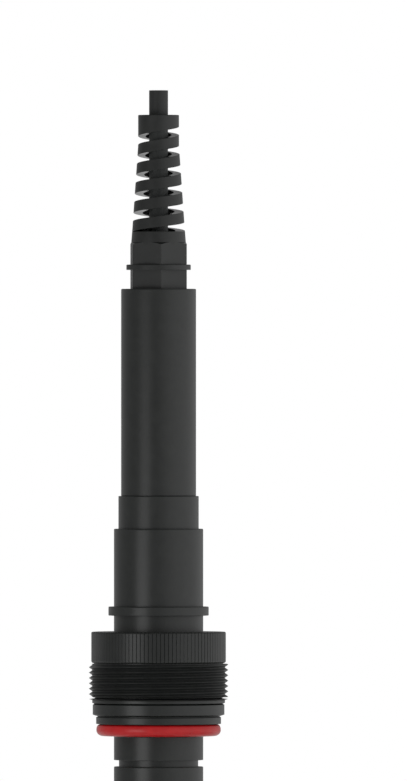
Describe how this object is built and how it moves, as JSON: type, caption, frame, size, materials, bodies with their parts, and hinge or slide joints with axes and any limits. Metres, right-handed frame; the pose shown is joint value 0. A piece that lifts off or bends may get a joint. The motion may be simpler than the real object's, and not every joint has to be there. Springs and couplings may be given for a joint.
{
  "type": "sodium ion sensor",
  "caption": "Upright probe that measures sodium ions in water, with a knurled and threaded lock nut, a red seat ring, a measuring head and a spiral cable gland.",
  "frame": {"origin": "on the sensor's axis, on the lower face of the flange, where the red ring seats", "axes": "+Z along the sensor, from the sensing face up to the cable; -Y is the front in the drawing"},
  "size_m": [0.039, 0.039, 0.2556],
  "materials": {
    "turned_acetal": "turned, satin",
    "turned_acetal_nut": "turned, knurled and threaded, satin",
    "moulded_nylon": "moulded, finely grained",
    "black_rubber": "moulded",
    "red_silicone": "moulded, soft sheen",
    "cable_sheath": "extruded",
    "copper_braid": "braided wire",
    "red_insulation": "extruded",
    "black_insulation": "extruded",
    "green_insulation": "extruded",
    "white_insulation": "extruded",
    "epoxy": "cast",
    "glass_epoxy": "laminate with solder mask",
    "natural_nylon": "moulded",
    "chip_resin": "moulded",
    "capacitor_can": "drawn",
    "electrode_plastic": "turned",
    "silver": "drawn wire",
    "pvc_membrane": "cast film",
    "porous_ceramic": "sintered",
    "stainless_steel": "drawn tube",
    "thermistor_bead": "dipped"
  },
  "bodies": {
    "probe": {"main_housing": "turned_acetal", "rear_housing": "turned_acetal", "head_body": "turned_acetal", "retaining_ring": "turned_acetal", "gland_body": "moulded_nylon", "gland_seal": "black_rubber", "gland_oring": "black_rubber", "rear_oring": "black_rubber", "head_oring": "black_rubber", "seat_oring": "red_silicone", "cable_jacket": "cable_sheath", "cable_shield": "copper_braid", "core_red": "red_insulation", "core_black": "black_insulation", "core_green": "green_insulation", "core_white": "white_insulation", "cable_potting": "epoxy", "bulkhead_potting": "epoxy", "circuit_board": "glass_epoxy", "board_clip": "natural_nylon", "cable_plug": "natural_nylon", "power_module": "chip_resin", "transceiver": "chip_resin", "processor": "chip_resin", "amplifier": "chip_resin", "smoothing_capacitor": "capacitor_can", "electrode_tube": "electrode_plastic", "electrode_plug": "electrode_plastic", "membrane_ring": "electrode_plastic", "reference_tube": "electrode_plastic", "reference_plug": "electrode_plastic", "electrode_wire": "silver", "reference_wire": "silver", "ion_membrane": "pvc_membrane", "reference_junction": "porous_ceramic", "temperature_sheath": "stainless_steel", "thermistor": "thermistor_bead", "electrode_lead": "white_insulation", "reference_lead": "white_insulation", "thermistor_lead_1": "white_insulation", "thermistor_lead_2": "white_insulation"},
    "thrust_washer": {"thrust_washer": "turned_acetal"},
    "lock_nut": {"lock_nut": "turned_acetal_nut"},
    "gland_claw": {"gland_claw": "moulded_nylon"},
    "gland_nut": {"gland_nut": "moulded_nylon"}
  },
  "joints": [
    {"name": "lock_nut_turn", "type": "hinge", "parent": "probe", "child": "thrust_washer", "pos_m": [0, 0, 0.00585], "axis": [0, 0, 1], "continuous": true},
    {"name": "lock_nut_slide", "type": "slide", "parent": "thrust_washer", "child": "lock_nut", "axis": [0, 0, 1], "range_m": [0, 0.004]},
    {"name": "gland_nut_lift", "type": "slide", "parent": "probe", "child": "gland_claw", "axis": [0, 0, 1], "range_m": [0, 0.0045]},
    {"name": "gland_nut_turn", "type": "hinge", "parent": "gland_claw", "child": "gland_nut", "pos_m": [0, 0, 0.132], "axis": [0, 0, 1], "range_deg": [0, 1080]}
  ],
  "couplings": [
    {"joint": "gland_nut_lift", "follows": "gland_nut_turn", "m_per_rad": 0.00023873}
  ]
}
